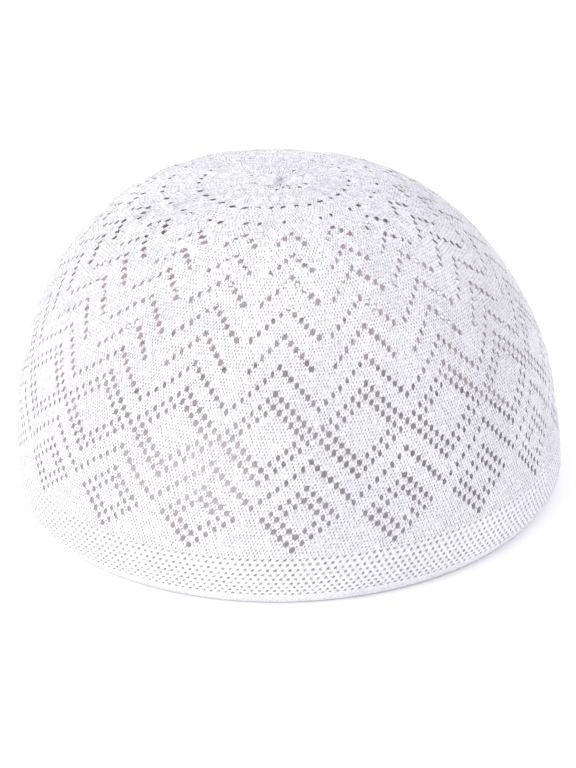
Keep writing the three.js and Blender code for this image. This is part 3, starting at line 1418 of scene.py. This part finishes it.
@dataclass
class Studio:
    """A pale floor, soft light from the front left and the camera at the photograph's angle."""

    radius: float
    elevation_degrees: float = 25.2
    roll_degrees: float = -1.83
    distance_share: float = 8.0
    aim: Place = (0.003, 0.0, 0.3605)
    lens_mm: float = 100.4
    clip: tuple[float, float] = (0.01, 50)
    floor_size: float = 8.0
    floor_colors: tuple[Color, Color] = ((0.94, 0.94, 0.945, 1), (0.96, 0.96, 0.965, 1))
    floor_roughness: float = 0.9
    cloud_scale: float = 6
    cloud_range: tuple[float, float] = (0.3, 0.7)
    sky: float = 1.19
    sky_color: Color = (0.97, 0.968, 1.0, 1)

    def camera(self) -> None:
        """Places the camera."""
        tilt = math.radians(self.elevation_degrees)
        roll = math.radians(self.roll_degrees)
        back = Vector((0, -math.cos(tilt), math.sin(tilt)))
        up = Vector((0, math.sin(tilt), math.cos(tilt)))
        right = Vector((1, 0, 0))
        rolled_right = math.cos(roll) * right + math.sin(roll) * up
        rolled_up = math.cos(roll) * up - math.sin(roll) * right
        place = Vector(self.aim) * self.radius + back * self.distance_share * self.radius
        data = bpy.data.cameras.new("camera")
        data.lens = self.lens_mm
        data.clip_start, data.clip_end = self.clip
        camera = put_in_scene("camera", data)
        axes = Matrix((rolled_right, rolled_up, back)).transposed().to_4x4()
        camera.matrix_world = Matrix.Translation(place) @ axes
        bpy.context.scene.camera = camera

    def area_light(self, lamp: Lamp) -> None:
        """Places one soft light.

        Args:
            lamp: What the light is like.
        """
        data = bpy.data.lights.new(lamp.name, "AREA")
        data.size = lamp.size
        data.energy = lamp.power
        data.color = lamp.color
        light = put_in_scene(lamp.name, data)
        light.location = lamp.place
        light.visible_camera = False
        aim = Vector(lamp.target) - Vector(lamp.place)
        light.rotation_mode = "QUATERNION"
        light.rotation_quaternion = aim.to_track_quat("-Z", "Y")

    def floor(self) -> None:
        """Lays the pale floor."""
        half = self.floor_size / 2
        corners = [(-half, -half, 0), (half, -half, 0), (half, half, 0), (-half, half, 0)]
        mesh = bpy.data.meshes.new("floor")
        mesh.from_pydata(corners, [], [(0, 1, 2, 3)])
        floor = put_in_scene("floor", mesh)
        recipe = Recipe("floor")
        clouds = recipe.between(recipe.noise(self.cloud_scale, 2), *self.cloud_range)
        color = recipe.blend(clouds, *self.floor_colors)
        recipe.feed(recipe.shader, {"Base Color": color, "Roughness": self.floor_roughness})
        mesh.materials.append(recipe.material)

    def sky_light(self) -> None:
        """Sets the even white light all round."""
        world = bpy.data.worlds.new("studio")
        world.use_nodes = True
        background = world.node_tree.nodes["Background"].inputs
        background["Color"].default_value = self.sky_color
        background["Strength"].default_value = self.sky
        bpy.context.scene.world = world

    def build(self) -> None:
        """Sets the whole studio up."""
        self.camera()
        self.floor()
        self.sky_light()
        for lamp in LAMPS:
            self.area_light(lamp)
        bpy.context.scene.view_settings.view_transform = "Standard"


def main() -> None:
    """Builds the cap and its studio."""
    logging.basicConfig(level=logging.INFO, format="%(name)s %(message)s")
    sizes = CapSizes()
    wall = CrownWall(sizes)
    lace_knit = KnitFinish("lace_knit", Strands.ZIGZAG, pinhole_start=0.2, pinhole_shade_depth=0.85, drift=0.7)
    top_knit = replace(
        lace_knit,
        # Deeper painted shade in the pinholes at the top
        pinhole_shade_depth=1.0,
        pinhole_form=(1.4, 0.6),
        drift=1.0,
        faintest=0.0,
        # Darker painted groove shade at the top of the lace
        groove_shade_tint=(0.60, 0.60, 0.65),
    )
    band_knit = KnitFinish(
        "band_knit",
        Strands.RIBBED,
        pinhole_start=0.2,
        pinhole_shade_depth=0.8,
        pinhole_form=(0.4, 1.8),
        drift=0.15,
        faintest=0.6,
        groove_shade_share=0.2,
        groove_shade_base=0.35,
        strand_relief=0.06,
        # Lighter painted shade on the band's inner side
        inside_shade_color=(0.94, 0.90, 0.90, 1),
    )
    gathered_knit = KnitFinish(
        "gathered_knit",
        Strands.RADIAL,
        pinhole_start=0.2,
        pinhole_shade_depth=0.8,
        pinhole_form=(1.4, 0.5),
        faintest=0.3,
        # Stronger, darker painted groove shade in the gathered centre
        groove_shade_share=0.65,
        groove_shade_base=0.05,
        groove_shade_tint=(0.52, 0.52, 0.57),
        strand_relief=0.14,
    )
    lace = LaceCrown(wall, lace_knit, top_knit)
    gather = CrownGather(lace, gathered_knit)
    lace_rings = lace.rings()
    net = StitchNet(wall, Sway(), lace.wedges, [*lace_rings, *gather.rings(len(lace_rings) - 1)])
    eyelets = [*lace.eyelets(lace_rings), *gather.eyelets(len(lace_rings))]
    net.cut_eyelets(eyelets, EYELET_SHAPES)
    net.knit()
    net.close_centre()
    normals = net.normals()
    lace.build(net, normals)
    gather.build(net, len(lace_rings) - 1, normals)
    HemBand(sizes, band_knit).build()
    Studio(sizes.radius).build()


if __name__ == "__main__":
    main()
